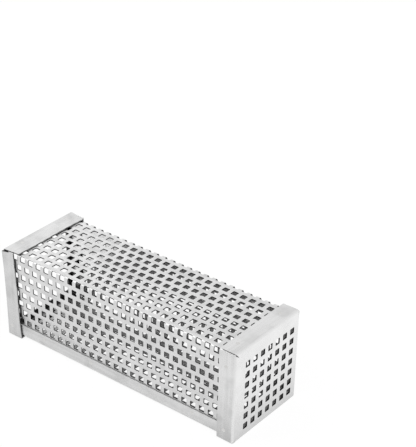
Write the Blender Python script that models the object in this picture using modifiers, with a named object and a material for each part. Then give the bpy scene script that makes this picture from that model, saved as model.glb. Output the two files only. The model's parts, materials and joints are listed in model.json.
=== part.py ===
"""Square pellet smoker tube, lying on one side.

Two perforated half shells of folded sheet form a square tube. A folded lid with a grid of holes
closes it at +X, and a folded frame with an inward rim stiffens the open end at -X, where wood
pellets go in. Spot welds join the sheets. Units are metres, +Z is up, and the tube rests at z = 0
on the flanges of its lid and its frame.
"""

from math import cos, floor, pi, radians, sin

import bmesh
import bpy
from mathutils import Matrix, Vector

# Whole tube
OVERALL_LENGTH = 0.1524
BODY_WIDTH = 0.0500
CLEARANCE = 0.0003
CUTTER_OVERRUN = 0.0020

# Folded body halves
BODY_SHEET = 0.0006
BODY_BEND = 0.0024
LAP_HEIGHT = 0.0074
LAP_OVERLAP = 0.0049

# Square holes punched in staggered rows, one of them just past the start of the first fold
HOLE_SIDE = 0.0033
HOLE_PITCH = 0.00553
HOLE_ROW_RISE = 0.0006
OPEN_END_MARGIN = 0.0032
CAP_END_MARGIN = 0.0060
SHEET_EDGE_MARGIN = 0.0045

# Folded lid at the closed end and folded frame at the open end
BAND_SHEET = 0.0008
BAND_FOLD = 0.0018
CAP_FLANGE = 0.0104
COLLAR_FLANGE = 0.0096
RIM_WIDTH = 0.0049
CORNER_SLIT = 0.0006

# Grid of square holes in the lid, a little off the middle of its plate
GRID_SIDE = 0.0034
GRID_PITCH = 0.00607
GRID_COUNT = 7
GRID_SHIFT_ACROSS = 0.0014
GRID_SHIFT_DOWN = 0.0013

# Spot welds, set back from the end of the body or in from the outside of the flanges
WELD_RADIUS = 0.0011
WELD_DIMPLE = 0.00015
CAP_WELD_SETBACK = 0.0044
CAP_WELD_INSET = 0.0089
COLLAR_WELD_NEAR_INSET = 0.0110
COLLAR_WELD_FAR_INSET = 0.0072
SEAM_WELDS = 4

# Facets
BODY_SEGMENTS = 3
BAND_SEGMENTS = 3
WELD_SIDES = 8

# Sizes that follow from the ones above
BAND_WIDTH = BODY_WIDTH + 2 * (CLEARANCE + BAND_SHEET)
BODY_LENGTH = OVERALL_LENGTH - 2 * BAND_FOLD
WALL_TUCK = BODY_SHEET + CLEARANCE
WALL_HEIGHT = BODY_WIDTH - LAP_HEIGHT + LAP_OVERLAP
LAP_MIDDLE = LAP_HEIGHT - LAP_OVERLAP / 2
BEND_LENGTH = (BODY_BEND - BODY_SHEET / 2) * pi / 2
COLLAR_WELD_SETBACK = OPEN_END_MARGIN / 2

QUARTER_TURNS = {"top": 0, "front": 1, "bottom": 2, "back": 3}


def clear_scene():
    """Remove whatever the file holds before the tube is made."""
    for old in list(bpy.data.objects):
        bpy.data.objects.remove(old, do_unlink=True)


def new_collection(name):
    """A collection linked to the scene."""
    collection = bpy.data.collections.new(name)
    bpy.context.scene.collection.children.link(collection)
    return collection


def steel(name, colour, roughness):
    """Bare stainless steel of one brightness and one roughness."""
    material = bpy.data.materials.new(name)
    material.use_nodes = True
    shader = material.node_tree.nodes["Principled BSDF"]
    shader.inputs["Base Color"].default_value = (*colour, 1)
    shader.inputs["Metallic"].default_value = 1
    shader.inputs["Roughness"].default_value = roughness
    return material


def new_object(name, bm, collection, material=None):
    """Turn a bmesh into an object that hangs on the tube's axis."""
    mesh = bpy.data.meshes.new(name)
    bm.to_mesh(mesh)
    bm.free()
    mesh.shade_smooth()
    mesh.set_sharp_from_angle(angle=radians(30))
    if material is not None:
        mesh.materials.append(material)
    return place(name, mesh, collection)


def place(name, mesh, collection):
    """Link an object for the mesh, with the tube's axis as its parent."""
    thing = bpy.data.objects.new(name, mesh)
    thing.parent = bpy.data.objects["tube_axis"]
    collection.objects.link(thing)
    return thing


def hide_cutter(thing):
    """A cutter shows as wire and stays out of renders."""
    thing.hide_render = True
    thing.display_type = "WIRE"
    return thing


def add_box(bm, low, high):
    """A box between two corners."""
    low, high = Vector(low), Vector(high)
    size = high - low
    matrix = Matrix.Translation((low + high) / 2) @ Matrix.Diagonal((*size, 1))
    bmesh.ops.create_cube(bm, size=1, matrix=matrix)


def cut(thing, cutter):
    """Subtract a cutter from a piece."""
    boolean = thing.modifiers.new(cutter.name, "BOOLEAN")
    boolean.operation = "DIFFERENCE"
    boolean.solver = "EXACT"
    boolean.object = cutter


def give_thickness(thing, fold, segments, sheet, limit):
    """Round the folds of an open surface, then thicken it inwards."""
    bevel = thing.modifiers.new("folds", "BEVEL")
    bevel.width = fold
    bevel.segments = segments
    bevel.limit_method = limit
    solidify = thing.modifiers.new("sheet", "SOLIDIFY")
    solidify.thickness = sheet
    solidify.offset = -1
    solidify.use_even_offset = True


def wall_lean(below_top):
    """How far the upright wall has leaned in, at a depth below the body's top."""
    return WALL_TUCK * below_top / (BODY_WIDTH - LAP_HEIGHT)


def body_surface():
    """Outer surface of one half: leaning wall, flat top and the lap strip on the far side."""
    half = BODY_WIDTH / 2
    outline = [
        (-half + wall_lean(WALL_HEIGHT), half - WALL_HEIGHT),
        (-half, half),
        (half, half),
        (half, half - LAP_HEIGHT),
    ]
    bm = bmesh.new()
    start = [bm.verts.new((-BODY_LENGTH / 2, y, z)) for y, z in outline]
    edges = [bm.edges.new(pair) for pair in zip(start, start[1:])]
    swept = bmesh.ops.extrude_edge_only(bm, edges=edges)["geom"]
    ends = [item for item in swept if isinstance(item, bmesh.types.BMVert)]
    bmesh.ops.translate(bm, verts=ends, vec=(BODY_LENGTH, 0, 0))
    bm.normal_update()
    top = max(bm.faces, key=lambda face: face.calc_center_median().z)
    if top.normal.z < 0:
        bmesh.ops.reverse_faces(bm, faces=bm.faces[:])
    return bm


def on_sheet(along):
    """Where a distance along the flat blank lands on the folded sheet.

    The distance starts where the wall meets the first fold and grows over the top. Returns the
    side it belongs to (0 wall, 1 top, 2 strip) and its place (y, z) across the tube.
    """
    half = BODY_WIDTH / 2
    centre = half - BODY_BEND
    radius = BODY_BEND - BODY_SHEET / 2
    top_length = BODY_WIDTH - 2 * BODY_BEND
    if along < 0:
        return 0, (-half, centre + along)
    if along < BEND_LENGTH:
        angle = along / radius
        return int(angle > pi / 4), (-centre - radius * cos(angle), centre + radius * sin(angle))
    along -= BEND_LENGTH
    if along < top_length:
        return 1, (along - centre, half)
    along -= top_length
    if along < BEND_LENGTH:
        angle = along / radius
        return 1 + int(angle > pi / 4), (centre + radius * sin(angle), centre + radius * cos(angle))
    return 2, (half, centre - (along - BEND_LENGTH))


def punched_ranges():
    """Rows of holes on the blank, as (first, last) distances of their edges and a row number."""
    lowest = -(WALL_HEIGHT - BODY_BEND)
    highest = 2 * BEND_LENGTH + BODY_WIDTH - 2 * BODY_BEND + LAP_HEIGHT - BODY_BEND
    spare = SHEET_EDGE_MARGIN + HOLE_SIDE / 2
    first = -floor((HOLE_ROW_RISE - lowest - spare) / HOLE_PITCH)
    last = floor((highest - spare - HOLE_ROW_RISE) / HOLE_PITCH)
    for row in range(first, last + 1):
        middle = row * HOLE_PITCH + HOLE_ROW_RISE
        yield middle - HOLE_SIDE / 2, middle + HOLE_SIDE / 2, row


def hole_starts(row):
    """Where each hole of a row starts along the tube; every other row is set half a pitch on."""
    start = -BODY_LENGTH / 2 + OPEN_END_MARGIN + (row % 2) * HOLE_PITCH / 2
    room = BODY_LENGTH / 2 - CAP_END_MARGIN - HOLE_SIDE - start
    return [start + index * HOLE_PITCH for index in range(floor(room / HOLE_PITCH) + 1)]


def perforation():
    """Punches for every hole of one half, square to the side or across the fold they cut."""
    half = BODY_WIDTH / 2
    inside = half - BODY_SHEET - WALL_TUCK - CUTTER_OVERRUN
    outside = half + CUTTER_OVERRUN
    bm = bmesh.new()
    for low, high, row in punched_ranges():
        side_low, (y_low, z_low) = on_sheet(low)
        side_high, (y_high, z_high) = on_sheet(high)
        if side_low == side_high == 0:
            span_y, span_z = (-outside, -inside), (z_low, z_high)
        elif side_low == side_high == 1:
            span_y, span_z = (y_low, y_high), (inside, outside)
        elif side_low == side_high:
            span_y, span_z = (inside, outside), (z_high, z_low)
        elif side_low == 0:
            span_y, span_z = (-outside, y_high), (z_low, outside)
        else:
            span_y, span_z = (y_low, outside), (z_high, outside)
        for x in hole_starts(row):
            add_box(bm, (x, span_y[0], span_z[0]), (x + HOLE_SIDE, span_y[1], span_z[1]))
    return bm


def band_surface(flange):
    """Outer surface of a folded band: its plate faces +X, its four flanges run back from it."""
    half = BAND_WIDTH / 2
    bm = bmesh.new()
    add_box(bm, (OVERALL_LENGTH / 2 - flange, -half, -half), (OVERALL_LENGTH / 2, half, half))
    bm.normal_update()
    inner = min(bm.faces, key=lambda face: face.calc_center_median().x)
    bmesh.ops.delete(bm, geom=[inner], context="FACES_ONLY")
    weight = bm.edges.layers.float.new("bevel_weight_edge")
    for edge in bm.edges:
        edge[weight] = float(all(vert.co.x > OVERALL_LENGTH / 2 - flange / 2 for vert in edge.verts))
    return bm


def corner_slits():
    """Slits that part neighbouring flanges, from each corner in to the flat of the plate."""
    start = (BAND_WIDTH / 2 - BAND_FOLD) * 2 ** 0.5
    end = (BAND_WIDTH / 2 + CUTTER_OVERRUN) * 2 ** 0.5
    near = OVERALL_LENGTH / 2 - max(CAP_FLANGE, COLLAR_FLANGE) - CUTTER_OVERRUN
    far = OVERALL_LENGTH / 2 + CUTTER_OVERRUN
    bm = bmesh.new()
    for corner in range(4):
        part = bmesh.new()
        add_box(part, (near, start, -CORNER_SLIT / 2), (far, end, CORNER_SLIT / 2))
        part.transform(Matrix.Rotation(pi / 4 + corner * pi / 2, 4, "X"))
        mesh = bpy.data.meshes.new("slit")
        part.to_mesh(mesh)
        part.free()
        bm.from_mesh(mesh)
        bpy.data.meshes.remove(mesh)
    return bm


def grid_punches():
    """Punches for the square grid in the lid's plate."""
    bm = bmesh.new()
    first = -(GRID_COUNT - 1) * GRID_PITCH / 2 - GRID_SIDE / 2
    near = OVERALL_LENGTH / 2 - BAND_SHEET - CUTTER_OVERRUN
    far = OVERALL_LENGTH / 2 + CUTTER_OVERRUN
    for column in range(GRID_COUNT):
        y = first + column * GRID_PITCH + GRID_SHIFT_ACROSS
        for row in range(GRID_COUNT):
            z = first + row * GRID_PITCH - GRID_SHIFT_DOWN
            add_box(bm, (near, y, z), (far, y + GRID_SIDE, z + GRID_SIDE))
    return bm


def window():
    """The filling mouth inside the frame's rim."""
    bm = bmesh.new()
    half = BAND_WIDTH / 2 - RIM_WIDTH
    near = OVERALL_LENGTH / 2 - BAND_SHEET - CUTTER_OVERRUN
    add_box(bm, (near, -half, -half), (OVERALL_LENGTH / 2 + CUTTER_OVERRUN, half, half))
    return bm


def weld_places():
    """Every spot weld as its name, side, x, place across that side, inner and outer reach.

    A side is the top turned in quarter turns about the tube's axis, so that the place across
    runs to the back on top, up on the front, and so on round. Reaches count from the axis.
    """
    half = BODY_WIDTH / 2
    outer = BAND_WIDTH / 2
    lap = -(half - LAP_MIDDLE)
    cap_x = BODY_LENGTH / 2 - CAP_WELD_SETBACK
    collar_x = COLLAR_WELD_SETBACK - BODY_LENGTH / 2
    cap_across = outer - CAP_WELD_INSET
    near = outer - COLLAR_WELD_NEAR_INSET
    far = outer - COLLAR_WELD_FAR_INSET
    bands = (("cap", cap_x, cap_across, cap_across), ("collar", collar_x, near, far))
    places = []
    for level, upright in (("top", "front"), ("bottom", "back")):
        for band, x, first, second in bands:
            for number, across in enumerate((-first, second), 1):
                name = f"weld_{band}_{level}_{number}"
                places.append((name, level, x, across, half - BODY_SHEET, outer))
            for number, across in enumerate((first, lap), 1):
                name = f"weld_{band}_{upright}_{number}"
                inner = half - wall_lean(half - across) - BODY_SHEET
                places.append((name, upright, x, across, inner, outer))
        open_length = OVERALL_LENGTH - CAP_FLANGE - COLLAR_FLANGE
        for number in range(SEAM_WELDS):
            x = -OVERALL_LENGTH / 2 + COLLAR_FLANGE + open_length * (number + 0.5) / SEAM_WELDS
            inner = half - wall_lean(half - lap) - BODY_SHEET
            places.append((f"weld_seam_{upright}_{number + 1}", upright, x, lap, inner, half))
    return places


def add_slug(bm, radius, low, high):
    """An upright cylinder between two heights."""
    bmesh.ops.create_cone(
        bm,
        cap_ends=True,
        segments=WELD_SIDES,
        radius1=radius,
        radius2=radius,
        depth=high - low,
        matrix=Matrix.Translation((0, 0, (low + high) / 2)),
    )


def weld_clearances(places):
    """Room for all the welds in the sheets that they join, as one cutter."""
    joined = bmesh.new()
    for name, side, x, across, inner, outer in places:
        part = bmesh.new()
        add_slug(part, WELD_RADIUS + CLEARANCE, inner - CUTTER_OVERRUN, outer + CUTTER_OVERRUN)
        turn = Matrix.Rotation(QUARTER_TURNS[side] * pi / 2, 4, "X")
        part.transform(turn @ Matrix.Translation((x, across, 0)))
        mesh = bpy.data.meshes.new("room")
        part.to_mesh(mesh)
        part.free()
        joined.from_mesh(mesh)
        bpy.data.meshes.remove(mesh)
    return joined


def add_welds(places, collection, material):
    """One nugget for each weld, dimpled below both faces by the electrodes."""
    for name, side, x, across, inner, outer in places:
        bm = bmesh.new()
        add_slug(bm, WELD_RADIUS, inner + WELD_DIMPLE, outer - WELD_DIMPLE)
        nugget = new_object(name, bm, collection, material)
        turn = Matrix.Rotation(QUARTER_TURNS[side] * pi / 2, 3, "X")
        nugget.location = turn @ Vector((x, across, 0))
        nugget.rotation_euler.x = QUARTER_TURNS[side] * pi / 2


def main():
    clear_scene()
    tube = new_collection("pellet_smoker_tube")
    cutters = new_collection("cutters")
    axis = bpy.data.objects.new("tube_axis", None)
    axis.location.z = BAND_WIDTH / 2
    tube.objects.link(axis)

    places = weld_places()
    room = hide_cutter(new_object("weld_room", weld_clearances(places), cutters))

    body_steel = steel("perforated_steel", (0.60, 0.60, 0.61), 0.36)
    front = new_object("body_half_front", body_surface(), tube, body_steel)
    back = place("body_half_back", front.data, tube)
    punch_front = hide_cutter(new_object("punches_front", perforation(), cutters))
    punch_back = hide_cutter(place("punches_back", punch_front.data, cutters))
    back.rotation_euler.x = pi
    punch_back.rotation_euler.x = pi
    for half, punches in ((front, punch_front), (back, punch_back)):
        give_thickness(half, BODY_BEND, BODY_SEGMENTS, BODY_SHEET, "ANGLE")
        cut(half, punches)
        cut(half, room)

    cap_steel = steel("lid_steel", (0.66, 0.66, 0.67), 0.32)
    collar_steel = steel("frame_steel", (0.64, 0.64, 0.65), 0.32)
    slits = hide_cutter(new_object("slits_cap", corner_slits(), cutters))
    slits_collar = hide_cutter(place("slits_collar", slits.data, cutters))
    slits_collar.rotation_euler.z = pi
    cap = new_object("end_cap", band_surface(CAP_FLANGE), tube, cap_steel)
    grid = hide_cutter(new_object("grid_punches", grid_punches(), cutters))
    collar = new_object("end_collar", band_surface(COLLAR_FLANGE), tube, collar_steel)
    mouth = hide_cutter(new_object("window", window(), cutters))
    collar.rotation_euler.z = pi
    mouth.rotation_euler.z = pi
    for band, opening, slit in ((cap, grid, slits), (collar, mouth, slits_collar)):
        give_thickness(band, BAND_FOLD, BAND_SEGMENTS, BAND_SHEET, "WEIGHT")
        cut(band, slit)
        cut(band, opening)
        cut(band, room)

    add_welds(places, tube, steel("weld_steel", (0.42, 0.41, 0.40), 0.45))


main()
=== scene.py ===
# %% [markdown]
# A square pellet smoker tube in perforated steel
#
# The real object is a cage of thin stainless sheet. Wood pellets are poured in at the open end, lit,
# and left to smoke in a grill. This lesson dresses the plain solids of that cage: every sheet is
# made again as a flat blank with its holes, folded by a formula and given its thickness, which is
# the order in which a sheet-metal shop works too.

# %% Load the solids as a fixed frame
import json
from collections import namedtuple
from math import cos, pi, radians, sin

import bmesh
import bpy
import numpy as np
from mathutils import Matrix, Vector

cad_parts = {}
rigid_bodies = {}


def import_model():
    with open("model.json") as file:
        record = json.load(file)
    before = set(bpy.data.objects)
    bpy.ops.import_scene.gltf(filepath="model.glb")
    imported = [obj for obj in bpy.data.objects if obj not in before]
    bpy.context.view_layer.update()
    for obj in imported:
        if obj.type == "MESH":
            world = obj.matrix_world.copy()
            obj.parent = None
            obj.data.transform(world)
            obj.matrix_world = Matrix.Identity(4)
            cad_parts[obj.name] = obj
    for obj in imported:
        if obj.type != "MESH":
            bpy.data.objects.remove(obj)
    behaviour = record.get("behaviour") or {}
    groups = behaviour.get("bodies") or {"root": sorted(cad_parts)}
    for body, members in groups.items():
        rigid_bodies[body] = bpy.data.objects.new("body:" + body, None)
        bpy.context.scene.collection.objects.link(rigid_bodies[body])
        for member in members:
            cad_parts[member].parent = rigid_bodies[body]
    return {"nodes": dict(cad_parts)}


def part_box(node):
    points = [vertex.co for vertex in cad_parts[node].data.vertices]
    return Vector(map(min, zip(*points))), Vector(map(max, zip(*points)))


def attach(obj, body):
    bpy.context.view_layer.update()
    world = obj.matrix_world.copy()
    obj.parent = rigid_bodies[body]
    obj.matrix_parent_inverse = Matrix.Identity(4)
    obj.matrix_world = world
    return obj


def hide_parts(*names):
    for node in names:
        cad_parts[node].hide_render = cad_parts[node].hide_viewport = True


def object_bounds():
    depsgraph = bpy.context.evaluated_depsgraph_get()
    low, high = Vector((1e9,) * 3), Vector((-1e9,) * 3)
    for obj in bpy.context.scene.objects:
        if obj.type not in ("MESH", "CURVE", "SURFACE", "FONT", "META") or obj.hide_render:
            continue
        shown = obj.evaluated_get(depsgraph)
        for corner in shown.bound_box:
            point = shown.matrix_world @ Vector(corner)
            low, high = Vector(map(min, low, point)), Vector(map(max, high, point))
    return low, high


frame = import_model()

cad_low, cad_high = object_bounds()
print("solids:", len(frame["nodes"]), "box:", [round(v, 4) for v in (*cad_low, *cad_high)])

# %% [markdown]
# Sizes
#
# The outer sizes are read from the solids, so the dressed sheets always fit them. What the boxes of
# the solids can't tell, such as the pitch of the holes, is named where it is first needed. All
# lengths are in metres.

# %% Read the outer sizes from the solids
body_low, body_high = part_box("body_half_front")
lid_low, lid_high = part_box("end_cap")
mouth_low, mouth_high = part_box("end_collar")

TUBE_END = lid_high[0]
BAND_HALF = lid_high[1]
AXIS_HEIGHT = (lid_low[2] + lid_high[2]) / 2
LID_FLANGE = lid_high[0] - lid_low[0]
MOUTH_FLANGE = mouth_high[0] - mouth_low[0]
BODY_END = body_high[0]
BODY_HALF = body_high[2] - AXIS_HEIGHT
WALL_HEIGHT = body_high[2] - body_low[2]
print("half widths of band and body:", round(BAND_HALF, 5), round(BODY_HALF, 5))

# %% [markdown]
# The flat blank
#
# A punch press makes the holes while the sheet is still flat. A Boolean with hundreds of cutters
# could do that here, but its edges would fall where they like. Instead the blank is a lattice of
# lines, and wherever a hole or a weld dimple sits, a block of four by four squares makes way for a
# cell: rings of sixteen points, one inside the other. The outermost ring is the sixteen lattice
# points round the block, so cells and plain squares share their edges without a seam.

# %% Rings of sixteen points
RING = 16
CELL = 4


def quarter_turns(quarter):
    """A ring from its first quarter: each further quarter is the one before turned by a right angle."""
    x, y = np.array(quarter, float).T
    turned = [(x, y), (-y, x), (-x, -y), (y, -x)]
    return np.concatenate([np.column_stack(pair) for pair in turned])


def square_ring(half, corner):
    """A square with round corners: the middle of an arc, its end, the middle of a side, the next arc."""
    flat = half - corner
    tip = flat + corner * cos(pi / 4)
    return quarter_turns([(tip, tip), (flat, half), (0, half), (-flat, half)])


def round_ring(radius):
    """A circle in sixteen equal steps that starts on the diagonal, as the square ring does."""
    angle = pi / 4 + 2 * pi * np.arange(RING) / RING
    return radius * np.column_stack([np.cos(angle), np.sin(angle)])


BLOCK = quarter_turns([(2, 2), (1, 2), (0, 2), (-1, 2)]).astype(int) + CELL // 2
print("lattice points round a cell:", BLOCK.tolist())

# %% Helpers for squares and rings


def split(quads):
    """Each square as two triangles that turn the same way."""
    return np.concatenate([quads[:, [0, 1, 2]], quads[:, [0, 2, 3]]])


def between(outer, inner):
    """Squares between two rings: points j and j + 1 of the outer ring, then j + 1 and j of the inner."""
    along = [outer, np.roll(outer, -1, 1), np.roll(inner, -1, 1), inner]
    return np.stack(along, -1).reshape(-1, 4)


def used_only(points, triangles):
    """Drop the points that no triangle uses and number the others anew."""
    used, numbers = np.unique(triangles, return_inverse=True)
    return points[used], numbers.reshape(-1, 3)


# %% A flat sheet from the lattice and its cells


def blank(u_lines, v_lines, groups, window=None):
    """A flat sheet as points (u, v, height) and triangles that face up.

    The lattice point (i, j) has the number i times the count of v lines plus j. A group of cells
    is (columns, rows, centres, rings, filled). Each ring is an outline and how deep it lies, and
    is drawn round every centre; a filled cell closes with a fan of triangles. The window is a test
    that names the plain squares to leave out, by their middles.
    """
    count_v = len(v_lines)
    lattice = np.stack(np.meshgrid(u_lines, v_lines, indexing="ij"), -1).reshape(-1, 2)
    points = [np.column_stack([lattice, np.zeros(len(lattice))])]
    plain = np.ones((len(u_lines) - 1, count_v - 1), bool)
    triangles = []
    total = len(lattice)
    steps = np.arange(CELL)
    for columns, rows, centres, rings, filled in groups:
        plain[(columns[:, None] + steps)[:, :, None], (rows[:, None] + steps)[:, None, :]] = False
        outer = (columns[:, None] + BLOCK[:, 0]) * count_v + rows[:, None] + BLOCK[:, 1]
        for outline, depth in rings:
            placed = (centres[:, None, :] + outline).reshape(-1, 2)
            points.append(np.column_stack([placed, np.full(len(placed), -depth)]))
            inner = total + np.arange(len(placed)).reshape(-1, RING)
            total += len(placed)
            triangles.append(split(between(outer, inner)))
            outer = inner
        if filled:
            points.append(np.column_stack([centres, np.full(len(centres), -rings[-1][1])]))
            middle = np.broadcast_to((total + np.arange(len(centres)))[:, None], outer.shape)
            total += len(centres)
            triangles.append(np.stack([outer, np.roll(outer, -1, 1), middle], -1).reshape(-1, 3))
    if window is not None:
        middle_u = (u_lines[1:] + u_lines[:-1]) / 2
        middle_v = (v_lines[1:] + v_lines[:-1]) / 2
        plain &= ~window(middle_u[:, None], middle_v[None, :])
    i, j = np.nonzero(plain)
    first = i * count_v + j
    squares = np.column_stack([first, first + count_v, first + count_v + 1, first + 1])
    triangles.append(split(squares))
    return used_only(np.concatenate(points), np.concatenate(triangles))


# %% [markdown]
# Punched rims and weld dimples
#
# A punch drags the surface down a little where it enters, so a hole has a soft rim on one side. A
# spot welder's electrode presses a shallow dish. Both are a few rings, each a little deeper than
# the one outside it.

# %% Rings for a punched hole and for a weld's dish
RIM_LAND = 0.00022
RIM_DROP = 0.00006
DISH_RADIUS = 0.0012
DISH_DEPTH = 0.00006
DISH_RADIUS_SHARES = (1.0, 0.82, 0.64, 0.36)
DISH_DEPTH_SHARES = (0.0, 0.30, 0.75, 1.0)


def punched(side, corner):
    """Rings of a square hole: where its rounded rim starts, and its edge."""
    land = square_ring(side / 2 + RIM_LAND, corner + RIM_LAND)
    return [(land, 0.0), (square_ring(side / 2, corner), RIM_DROP)]


dish = [
    (round_ring(DISH_RADIUS * across), DISH_DEPTH * down)
    for across, down in zip(DISH_RADIUS_SHARES, DISH_DEPTH_SHARES)
]
print("rings in a dish:", len(dish))

# %% [markdown]
# Where the welds are
#
# Each weld is a solid of its own in the frame, named for the side it is on. The top side turned by
# quarter turns about the tube's length gives the front, the bottom and the back, so a weld's place
# across its side is found by turning it back to the top.

# %% Read each weld's place from the solids
QUARTERS = {"top": 0, "front": 1, "bottom": 2, "back": 3}


def quarter_matrix(quarters):
    """The turn of (y, z) about the tube's length by a number of right angles."""
    c, s = ((1, 0), (0, 1), (-1, 0), (0, -1))[quarters]
    return np.array([[c, -s], [s, c]], float)


def weld_place(node):
    """A weld's x, its place across its side, and the heights of its two ends above the axis."""
    corners = np.array([tuple(corner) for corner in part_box(node)])
    corners[:, 2] -= AXIS_HEIGHT
    turned = corners[:, 1:] @ quarter_matrix(QUARTERS[node.split("_")[2]])
    across, height = turned.T
    return corners[:, 0].mean(), across.mean(), height.min(), height.max()


weld_nodes = sorted(name for name in frame["nodes"] if name.startswith("weld_"))
weld_centres = np.array([np.mean([tuple(c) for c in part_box(name)], axis=0) for name in weld_nodes])
print("welds:", len(weld_nodes))

# %% [markdown]
# Thickness
#
# Blender's Solidify modifier could thicken the folded surface. Here the exact normal of every point
# is known from the folding formula, so the lower side is simply the upper one moved down its
# normals, and every open edge, round the sheet and in each hole, gets a wall.

# %% Give a surface its thickness
EDGE_CUT = 0.12


def thicken(points, below, triangles, rim):
    """Closed shell: the twin of each point on the lower side, and a wall on each open edge.

    An edge is open if only one triangle uses it. Each edge gets one number from its two sorted ends, and
    the numbers that turn up once are the open ones. A wall runs from the edge's far end to its near end
    and down to their twins, so that it faces out of the metal. The last array says for each triangle how
    far it is a cut face, which the material paints near black as a painted shade: 1 in a punched hole,
    less on the sheet's outline, which catches the light, and 0 elsewhere.
    """
    count = len(points)
    edges = triangles[:, [0, 1, 1, 2, 2, 0]].reshape(-1, 2)
    ends = np.sort(edges, 1)
    _, place, times = np.unique(ends[:, 0] * count + ends[:, 1], return_index=True, return_counts=True)
    a, b = edges[place[times == 1]].T
    walls = split(np.column_stack([b, a, a + count, b + count]))
    shell = np.concatenate([triangles, triangles[:, ::-1] + count, walls])
    in_hole = rim[walls % count].max(1) > 0
    cut = np.concatenate([np.zeros(2 * len(triangles)), np.where(in_hole, 1, EDGE_CUT)])
    return np.concatenate([points, below]), shell, cut


# %% [markdown]
# From arrays to a piece
#
# Blender stores points, corners and faces as flat lists, and foreach_set fills such a list in one
# go. Attributes travel with each mesh, for its material to read: where a point lay on the flat
# sheet, so that the streaks of the steel follow it round its folds; its reach, from 0 on a plate
# through 1 past a fold to 2 at a free edge; how near it is to a punched edge; whether it is on the
# sheet's inner face; how near it is to a weld, where the steel got hot; and which faces are cut.

# %% Marks for the materials to read
HEAT_RADIUS = 0.0022


def set_attribute(mesh, name, values):
    """One number or one vector for each point, or for each face where it says what is cut."""
    kind, field = ("FLOAT", "value") if values.ndim == 1 else ("FLOAT_VECTOR", "vector")
    attribute = mesh.attributes.new(name, kind, "FACE" if name == "cut" else "POINT")
    attribute.data.foreach_set(field, values.astype(np.float32).ravel())


def heat_at(points):
    """Heat of a point: e to the power of minus (distance to the nearest weld / its radius) squared."""
    distance = np.linalg.norm(points[:, None] - weld_centres, axis=2).min(1)
    return np.exp(-((distance / HEAT_RADIUS) ** 2))


def sheet_marks(flat, reach, rim, cut):
    """Marks of a thickened sheet: each twin gets those of its point, and lies on the inner face."""
    place = np.column_stack([flat, flat[:, 0] * 0])
    return {
        "sheet": np.tile(place, (2, 1)),
        "reach": np.tile(reach, 2),
        "rim": np.tile(rim, 2),
        "inside": np.repeat([0.0, 1.0], len(flat)),
        "cut": cut,
    }


# %% Make a mesh object of a closed shell
SHARP = radians(35)


def piece(name, points, triangles, marks, node):
    """A mesh object that stands for a node and rides on the tube."""
    mesh = bpy.data.meshes.new(name)
    mesh.vertices.add(len(points))
    mesh.vertices.foreach_set("co", points.astype(np.float32).ravel())
    mesh.loops.add(triangles.size)
    mesh.loops.foreach_set("vertex_index", triangles.astype(np.int32).ravel())
    mesh.polygons.add(len(triangles))
    mesh.polygons.foreach_set("loop_start", np.arange(0, triangles.size, 3, dtype=np.int32))
    mesh.update(calc_edges=True)
    for label, values in (marks | {"heat": heat_at(points)}).items():
        set_attribute(mesh, label, values)
    mesh.shade_smooth()
    mesh.set_sharp_from_angle(angle=SHARP)
    thing = bpy.data.objects.new(name, mesh)
    bpy.context.scene.collection.objects.link(thing)
    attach(thing, "root")
    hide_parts(node)
    print(name, "triangles:", len(triangles))
    return thing


# %% [markdown]
# The folding formula
#
# A folded strip is a chain of straight runs and arcs. Bending stretches the outside of the metal and
# squeezes the inside, and a layer near the middle keeps its length, so distances on the blank are
# measured along that middle layer: an arc uses up its turn times the middle radius.

# %% Fold a strip along an outline


def fold_stations(outline, bend, sheet):
    """Start, heading, length and turn of each run and arc of the middle layer, in order."""
    outline = np.array(outline, float)
    runs = np.diff(outline, axis=0)
    heads = np.arctan2(runs[:, 1], runs[:, 0])
    turns = np.append(np.diff(heads), 0)
    trims = bend * np.tan(np.abs(turns) / 2)
    lengths = np.hypot(*runs.T) - trims - np.append(0, trims[:-1])
    middle = bend - sheet / 2
    point = outline[0] + sheet / 2 * np.array([sin(heads[0]), -cos(heads[0])])
    stations = []
    for head, length, turn in zip(heads, lengths, turns):
        stations.append((*point, head, length, 0.0))
        point = point + length * np.array([cos(head), sin(head)])
        stations.append((*point, head, middle * abs(turn), turn))
        chord = 2 * middle * sin(abs(turn) / 2)
        point = point + chord * np.array([cos(head + turn / 2), sin(head + turn / 2)])
    return np.array(stations[:-1])


def folded(along, stations, sheet):
    """Outer point (y, z) and outward normal at each distance along the folded strip.

    On a run: the start plus the distance times the heading. On an arc of turn t and length l, the
    heading has turned by a = t times distance / l, and the chord from the start has the length
    2 r sin(a / 2), with r = l / t, and points along the heading turned by a / 2.
    """
    starts = np.append(0, np.cumsum(stations[:, 3]))[:-1]
    which = np.clip(np.searchsorted(starts, along, side="right") - 1, 0, len(stations) - 1)
    y, z, head, length, turn = stations[which].T
    distance = along - starts[which]
    angle = turn * distance / length
    radius = length / np.where(turn == 0, 1, turn)
    chord = np.where(turn == 0, distance, 2 * radius * np.sin(angle / 2))
    aim = head + angle / 2
    middle = np.column_stack([y + chord * np.cos(aim), z + chord * np.sin(aim)])
    normal = np.column_stack([-np.sin(head + angle), np.cos(head + angle)])
    return middle + normal * sheet / 2, normal


# %% [markdown]
# The two body halves
#
# Each half is one sheet: a wall, the side above it, and a plain strip that laps over the other
# half's wall. Both are made by one function, and the back one is turned half a turn about the
# tube's length. The wall leans in by one sheet and a gap, so that it passes behind the other half's
# strip.
#
# Rows of holes are counted from row 0, at the start of the fold. The halves differ in three things:
# the last row, how far row 0 lies past the start of the fold, and the margin from the open end to
# the first hole. The pattern that is seen through both walls gave these values. The back half has
# one row fewer, because the fold beside its strip is plain.

# %% Outline of one half and its fold lines
BODY_SHEET = 0.0006
BODY_BEND = 0.0018
SEAM_GAP = 0.0001
LAP_HEIGHT = 0.0074
WALL_TUCK = BODY_SHEET + SEAM_GAP
LEAN = WALL_TUCK / (2 * BODY_HALF - LAP_HEIGHT)
FOLD_STEPS = 8

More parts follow.
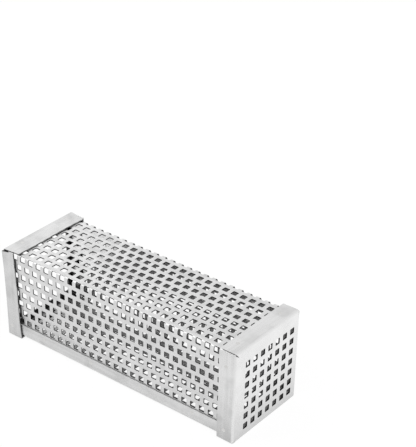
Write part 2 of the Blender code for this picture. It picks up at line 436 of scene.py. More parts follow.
body_outline = [
    (-BODY_HALF + LEAN * WALL_HEIGHT, BODY_HALF - WALL_HEIGHT),
    (-BODY_HALF, BODY_HALF),
    (BODY_HALF, BODY_HALF),
    (BODY_HALF, BODY_HALF - LAP_HEIGHT),
]
body_stations = fold_stations(body_outline, BODY_BEND, BODY_SHEET)
body_starts = np.append(0, np.cumsum(body_stations[:, 3]))
fold_lines = np.concatenate([np.linspace(*body_starts[k : k + 2], FOLD_STEPS + 1) for k in (1, 3)])
print("width of the flat blank:", round(body_starts[-1], 5))

# %% Holes and cells of the body's blank
HOLE_SIDE = 0.0033
HOLE_CORNER = 0.00040
HOLE_PITCH = 0.00553
HOLES_IN_ROW = 25
FIRST_ROW = -7
LAP_OVERLAP = 0.0049
WELD_BLOCK = 0.0020
MERGE = 1e-6

Rows = namedtuple("Rows", "last rise margin")
FRONT_ROWS = Rows(last=9, rise=0.0, margin=0.0032)
BACK_ROWS = Rows(last=8, rise=0.0006, margin=0.0019)

quarter = HOLE_PITCH / CELL
weld_middle = body_starts[-1] - LAP_OVERLAP / 2
seam_x = np.array([weld_place(name)[0] for name in weld_nodes if name.startswith("weld_seam_front")])


def body_blank(layout):
    """Points and triangles of one half's blank, and the distance at which its rows of holes end.

    Lattice lines lie a quarter of the pitch apart in both directions, with the first hole's cell at
    its margin from the open end and each row's cells at the row's middle. Every second row is
    shifted by half a pitch. Four more steps make room for the seam's weld dishes on the plain strip.
    """
    rows = np.arange(FIRST_ROW, layout.last + 1)
    hole, row = (index.ravel() for index in np.meshgrid(np.arange(HOLES_IN_ROW), np.arange(len(rows))))
    shifted = rows[row] % 2
    first_centre = layout.margin + HOLE_SIDE / 2 - BODY_END
    x_first = first_centre - HOLE_PITCH / 2
    x_inner = x_first + quarter * np.arange(CELL * HOLES_IN_ROW + CELL // 2 + 1)
    row_middle = body_starts[1] + rows * HOLE_PITCH + layout.rise
    s_inner = row_middle[0] - HOLE_PITCH / 2 + quarter * np.arange(CELL * len(rows) + 1)
    reach = min(WELD_BLOCK, weld_middle - s_inner[-1])
    s_weld = weld_middle + reach * np.linspace(-1, 1, CELL + 1)
    s_rows = s_inner[s_inner < s_weld[0] - MERGE]
    s_lines = np.concatenate([[0], s_rows, s_weld, [body_starts[-1]]])
    x_lines = np.concatenate([[-BODY_END], x_inner, [BODY_END]])

    columns = 1 + CELL * hole + CELL // 2 * shifted
    centres = np.column_stack([first_centre + (hole + shifted / 2) * HOLE_PITCH, row_middle[row]])
    seam_columns = 1 + np.round((seam_x - x_first) / quarter).astype(int) - CELL // 2
    seam_rows = np.full(len(seam_x), 1 + len(s_rows))
    seam_centres = np.column_stack([seam_x, np.full(len(seam_x), weld_middle)])
    cells = [
        (columns, 1 + CELL * row, centres, punched(HOLE_SIDE, HOLE_CORNER), False),
        (seam_columns, seam_rows, seam_centres, dish, True),
    ]
    print("holes in this half:", len(hole))
    return (*blank(x_lines, s_lines, cells), s_inner[-1])


# %% [markdown]
# Scoring the folds
#
# A flat triangle can't bend, so the blank first gets an edge along each line where the fold turns.
# bisect_plane cuts every face that crosses such a line, the rims of the holes on the fold included.

# %% Score the blank along its fold lines
WELD_DISTANCE = 1e-7


def scored(points, triangles, lines):
    """The blank with an edge along each line of one distance v."""
    mesh = bpy.data.meshes.new("flat blank")
    mesh.from_pydata(points, [], triangles)
    bm = bmesh.new()
    bm.from_mesh(mesh)
    for line in lines:
        everything = bm.verts[:] + bm.edges[:] + bm.faces[:]
        bmesh.ops.bisect_plane(
            bm, geom=everything, plane_co=(0, line, 0), plane_no=(0, 1, 0), dist=WELD_DISTANCE
        )
    bmesh.ops.triangulate(bm, faces=bm.faces[:])
    bm.to_mesh(mesh)
    bm.free()
    out_points = np.empty(3 * len(mesh.vertices))
    out_triangles = np.empty(3 * len(mesh.polygons), np.int32)
    mesh.vertices.foreach_get("co", out_points)
    mesh.loops.foreach_get("vertex_index", out_triangles)
    bpy.data.meshes.remove(mesh)
    return out_points.reshape(-1, 3), out_triangles.reshape(-1, 3)


# %% Fold the blank into a half and thicken it


def body_half(name, node, quarters, layout):
    """One half: the scored blank folded, thickened and turned about the tube's length."""
    flat_points, flat_triangles, punched_end = body_blank(layout)
    flat_points, flat_triangles = scored(flat_points, flat_triangles, fold_lines)
    x, along, lift = flat_points.T
    turn = quarter_matrix(quarters).T
    outer, normal = folded(along, body_stations, BODY_SHEET)
    normals = np.column_stack([x * 0, normal @ turn])
    surface = np.column_stack([x, outer @ turn]) + normals * lift[:, None]
    surface[:, 2] += AXIS_HEIGHT
    rim = np.where(along < punched_end, -lift / RIM_DROP, 0)
    points, shell, cut = thicken(surface, surface - normals * BODY_SHEET, flat_triangles, rim)
    marks = sheet_marks(np.column_stack([x, along]), np.ones(len(x)), rim, cut)
    return piece(name, points, shell, marks, node)


front_sheet = body_half("front_sheet", "body_half_front", 0, FRONT_ROWS)
back_sheet = body_half("back_sheet", "body_half_back", 2, BACK_ROWS)

# %% [markdown]
# The two bands
#
# The lid and the frame round the mouth are folded from a square plate with a tab on each side. A
# tab leaves the plate over a quarter turn and runs on as a flange. Its ends are cut to a mitre, so
# that two neighbouring flanges meet at the corner with only a slit between them. A tab's shape is
# its fold's outer radius, and for its first and last end how long the flange is and how wide the
# slit beside it is, at the fold and at the free edge; the flare says how far the last end of the
# fold is pulled out, along the tube and away from its axis.

# %% Sizes and helpers that both bands share
BAND_SHEET = 0.0008
CORNER_GAP = 0.00042
ARC_STEPS = 8
WELD_CELL_REACH = 0.0022
MARGIN_STEPS = 3
SWAY = 0.00012
SWAY_LENGTH = 0.034
MOUTH_LEAN = 0.00065

Tab = namedtuple("Tab", "fold runs fold_gaps free_gaps flare")
EVEN_GAP = (CORNER_GAP, CORNER_GAP)
NO_FLARE = (0.0, 0.0)


def arc_length(fold):
    """Length of a quarter turn along the sheet's middle layer: its radius times half of pi."""
    return (fold - BAND_SHEET / 2) * pi / 2


def nearest_block(lines, place):
    """First line of the four steps whose middle line lies nearest to a place."""
    middles = lines[CELL // 2 : -(CELL // 2)]
    return int(np.argmin(np.abs(middles - place)))


def between_ends(pair, share):
    """A size that changes evenly from its value at one end to that at the other."""
    return pair[0] + (pair[1] - pair[0]) * share


def leaned(points, node):
    """Points of the mouth's frame and its welds, pushed out by their height over the axis."""
    height = (points[:, 2] - AXIS_HEIGHT) / BAND_HALF
    push = MOUTH_LEAN * height if "collar" in node else 0 * height
    return np.column_stack([points[:, 0] - push, points[:, 1:]])


# %% The blank of one tab


def tab_blank(across_lines, welds, shape):
    """Points and triangles of a tab's blank, and the run past the fold at which its cells end.

    The blank is as wide as the plate and widens only when it is folded, so a weld's place across
    it is its real place times plate half / (band half - corner's gap).
    """
    across, weld_run = welds
    arc = arc_length(shape.fold)
    reach = min(weld_run, WELD_CELL_REACH)
    near, far = weld_run - reach, weld_run + reach
    on_fold = np.linspace(0, arc, ARC_STEPS + 1)[:-1]
    before = np.linspace(0, near, MARGIN_STEPS)[:-1] if near > MERGE else np.empty(0)
    block = np.linspace(near, far, CELL + 1)
    after = np.linspace(far, max(shape.runs), MARGIN_STEPS)[1:]
    distances = np.concatenate([on_fold, arc + np.concatenate([before, block, after])])

    narrowed = across * (BAND_HALF - shape.fold) / (BAND_HALF - CORNER_GAP)
    columns = np.array([nearest_block(across_lines, place) for place in narrowed])
    rows = np.full(len(columns), ARC_STEPS + len(before))
    centres = np.column_stack([narrowed, np.full(len(columns), arc + weld_run)])
    return (*blank(across_lines, distances, [(columns, rows, centres, dish, True)]), far)


# %% Fold one tab


def tab(across_lines, welds, shape, sway_start):
    """A tab in the place of the top one: points, twins below, triangles, sheet place, reach, rim.

    On the fold, with the angle a = distance / middle radius, a point lies at
    (end - fold + fold cos a, across, plate half + fold sin a), and past it the flange runs straight
    back. The half width grows from the plate's to the band's with sin a, less the corner's gap, and
    the twins of the two ends are drawn in by the sheet times sin a, which makes the mitre. Past the
    fold the flange sways in and out a little, by a sine that grows towards its free edge. A flare
    pulls the fold out, the more the nearer to the tab's last end.
    """
    points, triangles, far = tab_blank(across_lines, welds, shape)
    fold, runs, fold_gaps, free_gaps, flare = shape
    plate_half = BAND_HALF - fold
    arc = arc_length(fold)
    u, t, lift = points.T
    share = (u / plate_half + 1) / 2
    angle = np.clip(t / arc, 0, 1) * pi / 2
    past = np.clip(t - arc, 0, None)
    run = between_ends(runs, share)
    past = np.where(past > far, far + (past - far) * (run - far) / (max(runs) - far), past)
    fold_gap = between_ends(fold_gaps, share)
    gap = fold_gap + (between_ends(free_gaps, share) - fold_gap) * past / run
    half = plate_half + (fold - gap) * np.sin(angle)
    normals = np.column_stack([np.cos(angle), u * 0, np.sin(angle)])
    back = TUBE_END - fold + fold * np.cos(angle) - past
    surface = np.column_stack([back, u / plate_half * half, plate_half + fold * np.sin(angle)])
    sway = SWAY * (np.sin(2 * pi * (u - sway_start) / SWAY_LENGTH) - 1) * (past / run) ** 2
    surface += normals * (lift + sway)[:, None]
    pulled = share**2 * (1 - past / run)
    surface[:, 0] += flare[0] * pulled * (1 - np.cos(angle))
    surface[:, 2] += flare[1] * pulled * np.sin(angle)
    below = surface - normals * BAND_SHEET
    at_end = np.abs(np.abs(u) - plate_half) < MERGE
    below[:, 1] -= np.where(at_end, np.sign(u) * BAND_SHEET * np.sin(angle), 0)
    reach = angle / (pi / 2) + past / run
    return surface, below, triangles, np.column_stack([u, sway_start + t]), reach, u * 0


# %% A whole band from its plate and four tabs


def band(name, node, facing, lines, plate_cells, window, shapes):
    """Plate and tabs joined where they meet, mirrored to the end that the band faces.

    Each tab is made in the top one's place and turned about the tube's length. Points that lie on
    one place are found by rounding, and only the first of them is kept.
    """
    y_lines, z_lines = lines
    plate, triangles = blank(y_lines, z_lines, plate_cells, window)
    y, z, lift = plate.T
    surface = np.column_stack([TUBE_END + lift, y, z])
    below = surface - [BAND_SHEET, 0, 0]
    parts = [(surface, below, triangles, plate[:, :2], y * 0, -lift / RIM_DROP)]
    side_lines = {"top": y_lines, "front": z_lines, "bottom": -y_lines[::-1], "back": -z_lines[::-1]}
    for side, quarters in QUARTERS.items():
        places = [weld_place(weld) for weld in weld_nodes if weld.startswith(f"weld_{node[4:]}_{side}")]
        across = np.array([place[1] for place in places])
        weld_run = TUBE_END - shapes[side].fold - abs(places[0][0])
        made = tab(side_lines[side], (across, weld_run), shapes[side], quarters * SWAY_LENGTH / 3)
        turn = quarter_matrix(quarters).T
        for layer in made[:2]:
            layer[:, 1:] = layer[:, 1:] @ turn
        parts.append(made)
    surfaces, belows, faces, flats, reaches, rims = zip(*parts)
    starts = np.cumsum([0] + [len(points) for points in surfaces])
    triangles = np.concatenate([part + start for part, start in zip(faces, starts)])
    surface, below, flat, reach, rim = map(np.concatenate, (surfaces, belows, flats, reaches, rims))

    places = np.round(surface / MERGE).astype(np.int64)
    _, first, numbers = np.unique(places, axis=0, return_index=True, return_inverse=True)
    joined = numbers.reshape(-1)[triangles]
    points, shell, cut = thicken(surface[first], below[first], joined, rim[first])
    marks = sheet_marks(flat[first], reach[first], rim[first], cut)
    if facing < 0:
        shell = shell[:, ::-1]
    points *= [facing, 1, 1]
    points[:, 2] += AXIS_HEIGHT
    return piece(name, leaned(points, node), shell, marks, node)


# %% [markdown]
# The folded lid
#
# The closed end is a plate with seven rows of seven square holes. The grid sits a little off the
# plate's middle, as it does on the real one, so the plain margins differ from side to side. The
# slit between its top and its front flange is a little wider than the others.

# %% Lines and cells of the lid's plate
LID_FOLD = 0.0018
GRID_SIDE = 0.0034
GRID_CORNER = 0.00035
GRID_PITCH = 0.00607
GRID_COUNT = 7
GRID_SHIFT_ACROSS = 0.0014
GRID_SHIFT_DOWN = 0.0013

grid_step = GRID_PITCH / CELL
grid_offsets = GRID_PITCH * (np.arange(GRID_COUNT) - (GRID_COUNT - 1) / 2)
grid_y = grid_offsets + GRID_SHIFT_ACROSS
grid_z = grid_offsets - GRID_SHIFT_DOWN


def plate_lines(centres):
    """Plate edge, the middle of the margin, the cells' own lines, and the same on the far side."""
    edge = BAND_HALF - LID_FOLD
    inner = centres[0] - GRID_PITCH / 2 + grid_step * np.arange(CELL * len(centres) + 1)
    return np.concatenate([[-edge, (inner[0] - edge) / 2], inner, [(inner[-1] + edge) / 2, edge]])


lid_lines = (plate_lines(grid_y), plate_lines(grid_z))
column, level = (index.ravel() for index in np.meshgrid(*[np.arange(GRID_COUNT)] * 2, indexing="ij"))
grid_centres = np.column_stack([grid_y[column], grid_z[level]])
lid_cells = [(2 + CELL * column, 2 + CELL * level, grid_centres, punched(GRID_SIDE, GRID_CORNER), False)]
print("holes in the lid:", len(grid_centres))

# %% Fold the lid
LID_SLIT = 0.0006

lid_run = LID_FLANGE - LID_FOLD
lid_tab = Tab(LID_FOLD, (lid_run, lid_run), EVEN_GAP, EVEN_GAP, NO_FLARE)
slit_first, slit_last = (LID_SLIT, CORNER_GAP), (CORNER_GAP, LID_SLIT)
lid_shapes = dict.fromkeys(QUARTERS, lid_tab)
lid_shapes["top"] = lid_tab._replace(fold_gaps=slit_first, free_gaps=slit_first)
lid_shapes["front"] = lid_tab._replace(fold_gaps=slit_last, free_gaps=slit_last)
folded_lid = band("folded_lid", "end_cap", 1, lid_lines, lid_cells, None, lid_shapes)

# %% [markdown]
# The frame round the mouth
#
# The open end has the same tabs, but its plate is cut out to a narrow rim and its folds are sharp.
# On the real one the work is rough: the frame leans outwards at its top, the front flange is longer
# at its bottom than at its top, the top flange narrows towards its free edge, and the slit between
# these two gapes.

# %% Lines of the frame's plate and its window
MOUTH_FOLD = 0.0009
RIM_WIDTH = 0.0049
MOUTH_LINE_COUNT = 29

mouth_edge = BAND_HALF - MOUTH_FOLD
window_half = BAND_HALF - RIM_WIDTH
rim_middle = (window_half + mouth_edge) / 2
mouth_inner = np.linspace(-window_half, window_half, MOUTH_LINE_COUNT)
mouth_lines = np.concatenate([[-mouth_edge, -rim_middle], mouth_inner, [rim_middle, mouth_edge]])


def in_window(y, z):
    """True inside the filling mouth."""
    return (np.abs(y) < window_half) & (np.abs(z) < window_half)


print("width of the filling mouth:", round(2 * window_half, 5))

# %% Fold the frame
FRONT_RUN_BOTTOM = 0.0086
FRONT_RUN_TOP = 0.0062
MOUTH_FLARE = (0.0007, 0.0011)
CLOSED_GAP = 0.00005
GAPING_CORNER = 0.0010
TAPER_FRONT = 0.0011
TAPER_BACK = 0.0015

mouth_run = MOUTH_FLANGE - MOUTH_FOLD
mouth_tab = Tab(MOUTH_FOLD, (mouth_run, mouth_run), EVEN_GAP, EVEN_GAP, NO_FLARE)
top_runs = (mouth_run + MOUTH_LEAN, mouth_run + MOUTH_LEAN)
front_runs = (FRONT_RUN_BOTTOM, FRONT_RUN_TOP)
closed, tapered = (CLOSED_GAP, CLOSED_GAP), (TAPER_FRONT, TAPER_BACK)
gaping = (CORNER_GAP, GAPING_CORNER)
mouth_shapes = {
    "top": mouth_tab._replace(runs=top_runs, fold_gaps=closed, free_gaps=tapered),
    "front": mouth_tab._replace(runs=front_runs, fold_gaps=gaping, flare=MOUTH_FLARE),
    "bottom": mouth_tab,
    "back": mouth_tab,
}
mouth_lattice = (mouth_lines, mouth_lines)
mouth_frame = band(
    "mouth_frame", "end_collar", -1, mouth_lattice, [], in_window, mouth_shapes
)

# %% [markdown]
# The weld nuggets
#
# A spot weld is a lens of fused steel between two sheets. Only its ends show: a dull disc in the
# electrode's dish outside, and a fainter one inside. Each is a turned piece, a profile of radius
# and height carried round a circle.

# %% A turned piece


def turned(profile, sides):
    """Closed turned piece: radius times (cos, sin) of the angle, with the profile's heights."""
    radius, height = profile.T
    angle = 2 * pi * np.arange(sides) / sides
    ring = np.stack([np.outer(radius, np.cos(angle)), np.outer(radius, np.sin(angle))], -1)
    rings = np.concatenate([ring, np.broadcast_to(height[:, None, None], (*ring.shape[:2], 1))], -1)
    poles = np.array([[0, 0, height[0]], [0, 0, height[-1]]])
    numbers = np.arange(len(profile) * sides).reshape(len(profile), sides)
    following = np.roll(numbers, -1, 1)
    quads = np.stack([numbers[:-1], numbers[1:], following[1:], following[:-1]], -1).reshape(-1, 4)
    top, bottom = np.full(sides, numbers.size), np.full(sides, numbers.size + 1)
    caps = [
        np.column_stack([numbers[0], following[0], top]),
        np.column_stack([following[-1], numbers[-1], bottom]),
    ]
    return np.concatenate([rings.reshape(-1, 3), poles]), np.concatenate([split(quads), *caps])


# %% Make one nugget for each weld
WELD_DIMPLE = 0.00015
NUGGET_RADIUS = 0.0011
NUGGET_SIDES = 24
PROUD = 0.000008
END_ROUND = 0.00005
face_radii = np.array([0.30, 0.60, 0.80, 0.93]) * NUGGET_RADIUS


def dish_depth(radius):
    """Depth of the dish at a radius: straight between its rings."""
    radii = DISH_RADIUS * np.array(DISH_RADIUS_SHARES[::-1])
    return np.interp(radius, radii, DISH_DEPTH * np.array(DISH_DEPTH_SHARES[::-1]))


def nugget(node):
    """One weld: its outer face follows the dish, its inner face swells past the sheet."""
    x, across, low, high = weld_place(node)
    outer, inner = high + WELD_DIMPLE, low - WELD_DIMPLE
    face = np.column_stack([face_radii, outer - dish_depth(face_radii) + PROUD])
    side = np.array([(NUGGET_RADIUS, outer - WELD_DIMPLE), (NUGGET_RADIUS, inner + END_ROUND)])
    inside = np.column_stack([face_radii[::-1], np.full(len(face_radii), inner - PROUD)])
    points, triangles = turned(np.concatenate([face, side, inside]), NUGGET_SIDES)
    marks = {"sheet": points * [1, 1, 0]}
    points = points + [x, across, 0]
    points[:, 1:] = points[:, 1:] @ quarter_matrix(QUARTERS[node.split("_")[2]]).T
    points[:, 2] += AXIS_HEIGHT
    name = node.replace("weld_", "nugget_")
    return piece(name, leaned(points, node), triangles, marks, node)


nuggets = [nugget(node) for node in weld_nodes]
print("nuggets:", len(nuggets))

# %% [markdown]
# The finish of rolled stainless sheet
#
# Mill-finish stainless is a satin mirror: fully metallic, with fine rolling lines in one direction,
# faint smudges that change how sharply it reflects, and bright rims where punches have rubbed it. The
# lines are noise stretched along the blank, read from the attribute that each point carries, so they
# bend with the sheet. Broad soft spots mottle the walls, and the free edges are painted lighter, a
# painted sheen. A noise hovers round 0.5, so each one is spread over the part of its range that it
# really fills before it mixes two colours.

# %% Helpers for materials


class Graph:
    """A new material and short words for adding nodes to it."""

    def __init__(self, name):
        self.material = bpy.data.materials.new(name)
        self.material.use_nodes = True
        self.tree = self.material.node_tree
        self.shader = self.tree.nodes["Principled BSDF"]

    def add(self, kind, **inputs):
        """A node of a kind, with values or links for its inputs by name."""
        node = self.tree.nodes.new(kind)
        self.fill(node, inputs)
        return node

    def fill(self, node, inputs):
        """Set or link a node's inputs; a link is an output socket."""
        for key, value in inputs.items():
            socket = node.inputs[key.replace("_", " ")]
            if isinstance(value, bpy.types.NodeSocket):
                self.tree.links.new(value, socket)
            else:
                socket.default_value = value

    def attribute(self, name, output):
        """A stored attribute of the mesh."""
        node = self.add("ShaderNodeAttribute")
        node.attribute_name = name
        return node.outputs[output]

    def noise(self, vector, scale, detail, stretch=(1, 1, 1)):
        """Soft noise from 0 to 1, stretched by scaling its coordinates."""
        mapping = self.add("ShaderNodeMapping", Vector=vector, Scale=stretch)
        node = self.add("ShaderNodeTexNoise", Vector=mapping.outputs[0], Scale=scale, Detail=detail)
        return node.outputs["Fac"]

    def ranged(self, value, low, high, to_low, to_high):
        """A value moved from one range to another and held inside it."""
        names = ("Value", "From Min", "From Max", "To Min", "To Max")
        node = self.add("ShaderNodeMapRange")
        self.fill(node, dict(zip(names, (value, low, high, to_low, to_high))))
        return node.outputs[0]

    def math(self, operation, first, second):
        """A sum, product or power of a link and a number or another link."""
        node = self.add("ShaderNodeMath")
        node.operation = operation
        self.tree.links.new(first, node.inputs[0])
        if isinstance(second, bpy.types.NodeSocket):
            self.tree.links.new(second, node.inputs[1])
        else:
            node.inputs[1].default_value = second
        return node.outputs[0]

    def mixed(self, factor, first, second):
        """One colour turned into another by a factor."""
        node = self.tree.nodes.new("ShaderNodeMix")
        node.data_type = "RGBA"
        for index, value in ((0, factor), (6, first), (7, second)):
            if isinstance(value, bpy.types.NodeSocket):
                self.tree.links.new(value, node.inputs[index])
            else:
                node.inputs[index].default_value = value
        return node.outputs[2]

    def bump(self, height, strength, distance, normal=None):
        """A bump of a height, on top of another bump if one is given."""
        node = self.add("ShaderNodeBump", Height=height, Strength=strength, Distance=distance)
        if normal is not None:
            self.tree.links.new(normal, node.inputs["Normal"])
        return node.outputs[0]


# %% Streaks, smudges and marks of the outer face
PLATE_SPREAD = 0.03
GLEAM = 0.06
STAIN = 0.10
LINE_SHARE = 0.40
WAVE_SHARE = 0.45
EDGE_SHEEN_SHARE = 0.40
STAIN_SHARE = 0.35
RUBBED = 0.84
RUBBED_SHARE = 0.45
STRAW = (0.66, 0.65, 0.63, 1)
STRAW_SHARE = 0.12


def grey(level):
    """A steel grey."""
    return (level, level, level, 1)


def outer_face(g, noises, plate, dark, light):
    """Colour of the outer face: an even plate, and past the fold streaks between dark and light.

    Lines and waves gleam, free edges get a painted sheen, and smudges stain. A punched rim is rubbed
    bright, and a weld has a faint straw tint. Each is mixed in by its share times its noise or its mark.
    """
    lines, bands, smudges, waves = noises
    reach = g.attribute("reach", "Fac")
    gleaming = grey(light + GLEAM)
    smudged = g.ranged(smudges, 0.36, 0.64, 0, 1)
    smooth = g.mixed(smudged, grey(plate - PLATE_SPREAD), grey(plate + PLATE_SPREAD))
    streaked = g.mixed(g.ranged(bands, 0.34, 0.66, 0, 1), grey(dark), grey(light))
    streaked = g.mixed(g.ranged(lines, 0.35, 0.80, 0, LINE_SHARE), streaked, gleaming)
    streaked = g.mixed(g.ranged(waves, 0.40, 0.64, 0, WAVE_SHARE), streaked, gleaming)
    # Painted sheen: the free edges are painted lighter.
    streaked = g.mixed(g.ranged(reach, 1, 2, 0, EDGE_SHEEN_SHARE), streaked, gleaming)
    streaked = g.mixed(g.ranged(smudges, 0.50, 0.68, 0, STAIN_SHARE), streaked, grey(dark - STAIN))
    steel = g.mixed(g.ranged(reach, 0.3, 1, 0, 1), smooth, streaked)
    rubbed = g.ranged(g.attribute("rim", "Fac"), 0, 0.9, 0, RUBBED_SHARE)
    steel = g.mixed(rubbed, steel, grey(RUBBED))
    heated = g.ranged(g.attribute("heat", "Fac"), 0.1, 1, 0, STRAW_SHARE)
    return g.mixed(heated, steel, STRAW)


# %% [markdown]
# Shade low down and light inside
#
# The real sheets are darker low down, most likely because they mirror dim things near the floor. This
# studio is white all round, so that darkening is painted into the colour as a painted shade, which
# leaves the folds as they are. The white room also shines further into the tube than a real one does, so
# the inner faces get a darker grey of their own, a painted shade, and a paler one near the mouth, a
# painted light, up to the slope along which light falls in.

# %% Painted shade low down, and the painted inner face
# Painted shade: the colour is darkened low down, and left as it is on the folds.
LOW_SHADE_HEIGHT = 2 * BAND_HALF
MOUTH_LIGHT_SLOPE = 1.065
MOUTH_LIGHT_END = -0.0845
MOUTH_LIGHT_FADE = 0.004


def shaded_low_down(g, steel, height, low_shade):
    """Steel with a painted shade low down: darkened by the share of low shade times the cube of (1 -
    height / the band's height), and left as it is on the folds.
    """
    reach = g.attribute("reach", "Fac")
    low = g.math("POWER", g.ranged(height, 0, LOW_SHADE_HEIGHT, 1, 0), 3)
    off_fold = g.math("ADD", g.ranged(reach, 0.35, 0.55, low_shade, 0), g.ranged(reach, 0.85, 1, 0, low_shade))
    return g.mixed(g.math("MULTIPLY", low, off_fold), steel, grey(0))


def painted_inner_face(g, along, height, inner, lit):
    """Painted light near the mouth: the lit grey where x less the slope times the height is below the
    light's end; elsewhere the inner grey, a painted shade.
    """
    sloped = g.math("ADD", along, g.math("MULTIPLY", height, -MOUTH_LIGHT_SLOPE))
    depth = g.ranged(sloped, MOUTH_LIGHT_END - MOUTH_LIGHT_FADE, MOUTH_LIGHT_END, 0, 1)
    return g.mixed(depth, grey(lit), grey(inner))


# %% Rolled steel from its faces and its relief
LINE_STRETCH = (60, 2400, 1)
BAND_STRETCH = (25, 500, 1)
SMUDGE_SCALE = 120
WAVE_SCALE = 55
CUT_FACE_SHADE = 0.03
WAVE_RELIEF = 0.00016
LINE_RELIEF = 0.00005


def rolled_steel(name, plate, dark, light, inner, lit, rough, low_shade):
    """Satin stainless from five greys, a roughness and a share of painted shade low down.

    The greys are those of an end's plate, of the dark and light streaks past the folds, of the inner
    face, painted darker as shade, and of that face near the mouth, painted paler as light falling in.
    The roughness moves with the smudges, and the relief is broad waves with the rolling lines on top.
    """
    g = Graph(name)
    sheet = g.attribute("sheet", "Vector")
    place = g.add("ShaderNodeTexCoord").outputs["Object"]
    lines = g.noise(sheet, 1.0, 3, stretch=LINE_STRETCH)
    bands = g.noise(sheet, 1.0, 2, stretch=BAND_STRETCH)
    smudges = g.noise(place, SMUDGE_SCALE, 4)
    waves = g.noise(place, WAVE_SCALE, 2)
    along, _, height = g.add("ShaderNodeSeparateXYZ", Vector=place).outputs
    outside = outer_face(g, (lines, bands, smudges, waves), plate, dark, light)
    # Painted shade and light: a darker grey on the inner face, and a paler one near the mouth.
    within = painted_inner_face(g, along, height, inner, lit)
    inside = g.ranged(g.attribute("inside", "Fac"), 0.05, 0.9, 0, 1)
    steel = g.mixed(inside, shaded_low_down(g, outside, height, low_shade), within)
    # Painted shade: cut faces are painted near black.
    steel = g.mixed(g.attribute("cut", "Fac"), steel, grey(CUT_FACE_SHADE))
    satin = g.ranged(smudges, 0.35, 0.65, rough - 0.05, rough + 0.07)
    relief = g.bump(waves, 0.90, WAVE_RELIEF)
    relief = g.bump(lines, 0.10, LINE_RELIEF, relief)
    g.fill(g.shader, {"Base Color": steel, "Metallic": 1.0, "Roughness": satin, "Normal": relief})
    return g.material


# %% Fused steel of the welds


def weld_steel(name):
    """Fused steel: a little duller than the sheet, with the electrode's fine rings."""
    g = Graph(name)
    sheet = g.attribute("sheet", "Vector")
    rings = g.add("ShaderNodeTexWave", Vector=sheet, Scale=1400.0, Distortion=2.0)
    rings.wave_type = "RINGS"
    rings.rings_direction = "Z"
    blotch = g.noise(sheet, 900, 3)
    colour = g.mixed(g.ranged(blotch, 0.35, 0.65, 0, 1), (0.61, 0.60, 0.59, 1), (0.68, 0.68, 0.67, 1))
    satin = g.ranged(blotch, 0.3, 0.7, 0.32, 0.42)
    relief = g.bump(rings.outputs["Fac"], 0.10, 0.00001)
    g.fill(g.shader, {"Base Color": colour, "Metallic": 1.0, "Roughness": satin, "Normal": relief})
    return g.material


# %% Make the steels and give each piece its own
# The inner greys are painted shade, and each lit grey is painted light near the mouth.
body_steel = rolled_steel(
    "rolled_body_steel", plate=0.67, dark=0.61, light=0.71, inner=0.34, lit=0.80, rough=0.34, low_shade=0.12
)
# The lid's plate grey of 0.84 is painted light, standing for the bright surroundings that the plate
# mirrors.
lid_steel = rolled_steel(
    "rolled_lid_steel", plate=0.84, dark=0.58, light=0.71, inner=0.15, lit=0.15, rough=0.28, low_shade=0.31
)
frame_steel = rolled_steel(
    "rolled_frame_steel", plate=0.64, dark=0.54, light=0.64, inner=0.10, lit=0.10, rough=0.30, low_shade=0.15
)
fused_steel = weld_steel("fused_weld_steel")
for thing, steel in [
    (front_sheet, body_steel),
    (back_sheet, body_steel),
    (folded_lid, lid_steel),
    (mouth_frame, frame_steel),
    *[(weld, fused_steel) for weld in nuggets],
]:
    thing.data.materials.append(steel)
print("materials:", [steel.name for steel in (body_steel, lid_steel, frame_steel, fused_steel)])

# %% [markdown]
# The studio
#
# Steel shows what surrounds it, so the studio is the larger part of its look. The room is white for
# whatever looks at it directly or in a reflection. One soft panel stands high on the left, one on
# the right, and a faint one behind on the left. The floor is white too, and keeps a soft shadow.

# %% White floor
FLOOR_SIZE = 4.0
FLOOR_GLOW = 0.86
FLOOR_COLOUR = (0.25, 0.25, 0.25, 1)


def seen_directly(tree):
    """1 for rays from the camera, from reflections and through glass; 0 for light that scatters."""
    path = tree.nodes.new("ShaderNodeLightPath")
    total = path.outputs["Is Camera Ray"]
    for name in ("Is Glossy Ray", "Is Transmission Ray"):
        node = tree.nodes.new("ShaderNodeMath")
        node.operation = "MAXIMUM"
        tree.links.new(total, node.inputs[0])
        tree.links.new(path.outputs[name], node.inputs[1])
        total = node.outputs[0]
    return total


def white_floor():
    """A plain sheet at the tube's foot: diffuse white with some glow of its own."""
    half = FLOOR_SIZE / 2
    mesh = bpy.data.meshes.new("floor")
    corners = [(-half, -half, cad_low[2]), (half, -half, cad_low[2]), (half, half, cad_low[2])]
    mesh.from_pydata([*corners, (-half, half, cad_low[2])], [], [(0, 1, 2, 3)])
    thing = bpy.data.objects.new("floor", mesh)
    bpy.context.scene.collection.objects.link(thing)
    g = Graph("white_floor")
    strength = g.tree.nodes.new("ShaderNodeMath")
    strength.operation = "MULTIPLY"
    strength.inputs[0].default_value = FLOOR_GLOW
    g.tree.links.new(seen_directly(g.tree), strength.inputs[1])
    g.fill(
        g.shader,
        {
            "Base Color": FLOOR_COLOUR,
            "Roughness": 0.9,
            "Specular IOR Level": 0.0,
            "Emission Color": (1, 1, 1, 1),
            "Emission Strength": strength.outputs[0],
        },
    )
    mesh.materials.append(g.material)


white_floor()
print("floor at", round(cad_low[2], 5))

# %% White room
ROOM_LEVEL = 0.55


def white_room():
    """World: white where it is looked at, and a soft level of light everywhere else."""
    world = bpy.data.worlds.new("white_room")
    world.use_nodes = True
    tree = world.node_tree
    background = tree.nodes["Background"]
    background.inputs["Color"].default_value = (1, 1, 1, 1)
    level = tree.nodes.new("ShaderNodeMapRange")
    level.inputs["To Min"].default_value = ROOM_LEVEL
    tree.links.new(seen_directly(tree), level.inputs["Value"])
    tree.links.new(level.outputs[0], background.inputs["Strength"])
    bpy.context.scene.world = world


white_room()
print("level of the room:", ROOM_LEVEL)

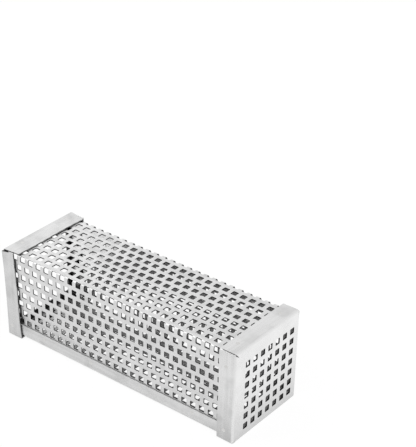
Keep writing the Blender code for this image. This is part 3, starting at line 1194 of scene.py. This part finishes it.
# %% Soft panels of light
middle = (Vector(cad_low) + Vector(cad_high)) / 2


def panel(name, offset, size, power):
    """A square area light that looks at the tube's middle."""
    light = bpy.data.lights.new(name, "AREA")
    light.shape = "SQUARE"
    light.size = size
    light.energy = power
    thing = bpy.data.objects.new(name, light)
    thing.location = middle + Vector(offset)
    thing.rotation_euler = (-Vector(offset)).to_track_quat("-Z", "Y").to_euler()
    bpy.context.scene.collection.objects.link(thing)
    return thing


panels = [
    panel("panel_fold", (-0.62, -0.60, 0.84), 0.5, 1.1),
    panel("panel_right", (1.1, -0.7, 0.35), 0.5, 1.6),
    panel("panel_back", (-0.74, 0.53, 0.48), 0.4, 0.13),
]
print("panels:", {light.name: [round(v, 3) for v in light.location] for light in panels})

# %% [markdown]
# The camera
#
# The camera stands where the photograph was taken from. Its place was solved from the straight
# edges of the tube, so it is given as a distance and two angles round a point to look at, with a
# small roll. No shift is needed.

# %% Place the camera
IMAGE_SIZE = (416, 447)
SENSOR = 36.0
FOCAL_PIXELS = 1491
AZIMUTH = radians(37.05)
ELEVATION = radians(29.50)
ROLL = radians(1.77)
DISTANCE = 0.7138
TARGET = Vector((0.03703, 0.0, 0.09792))

back = Vector((sin(AZIMUTH) * cos(ELEVATION), -cos(AZIMUTH) * cos(ELEVATION), sin(ELEVATION)))
right = Vector((0, 0, 1)).cross(back).normalized()
up = back.cross(right)
rolled_right = cos(ROLL) * right + sin(ROLL) * up
rolled_up = cos(ROLL) * up - sin(ROLL) * right

lens = bpy.data.cameras.new("camera")
lens.sensor_width = SENSOR
lens.lens = FOCAL_PIXELS * SENSOR / max(IMAGE_SIZE)
lens.dof.use_dof = False
camera = bpy.data.objects.new("camera", lens)
turn = Matrix((rolled_right, rolled_up, back)).transposed().to_4x4()
camera.matrix_world = Matrix.Translation(TARGET + back * DISTANCE) @ turn
bpy.context.scene.collection.objects.link(camera)
bpy.context.scene.camera = camera
bpy.context.scene.view_settings.view_transform = "Standard"
print("lens:", round(lens.lens, 2), "mm")
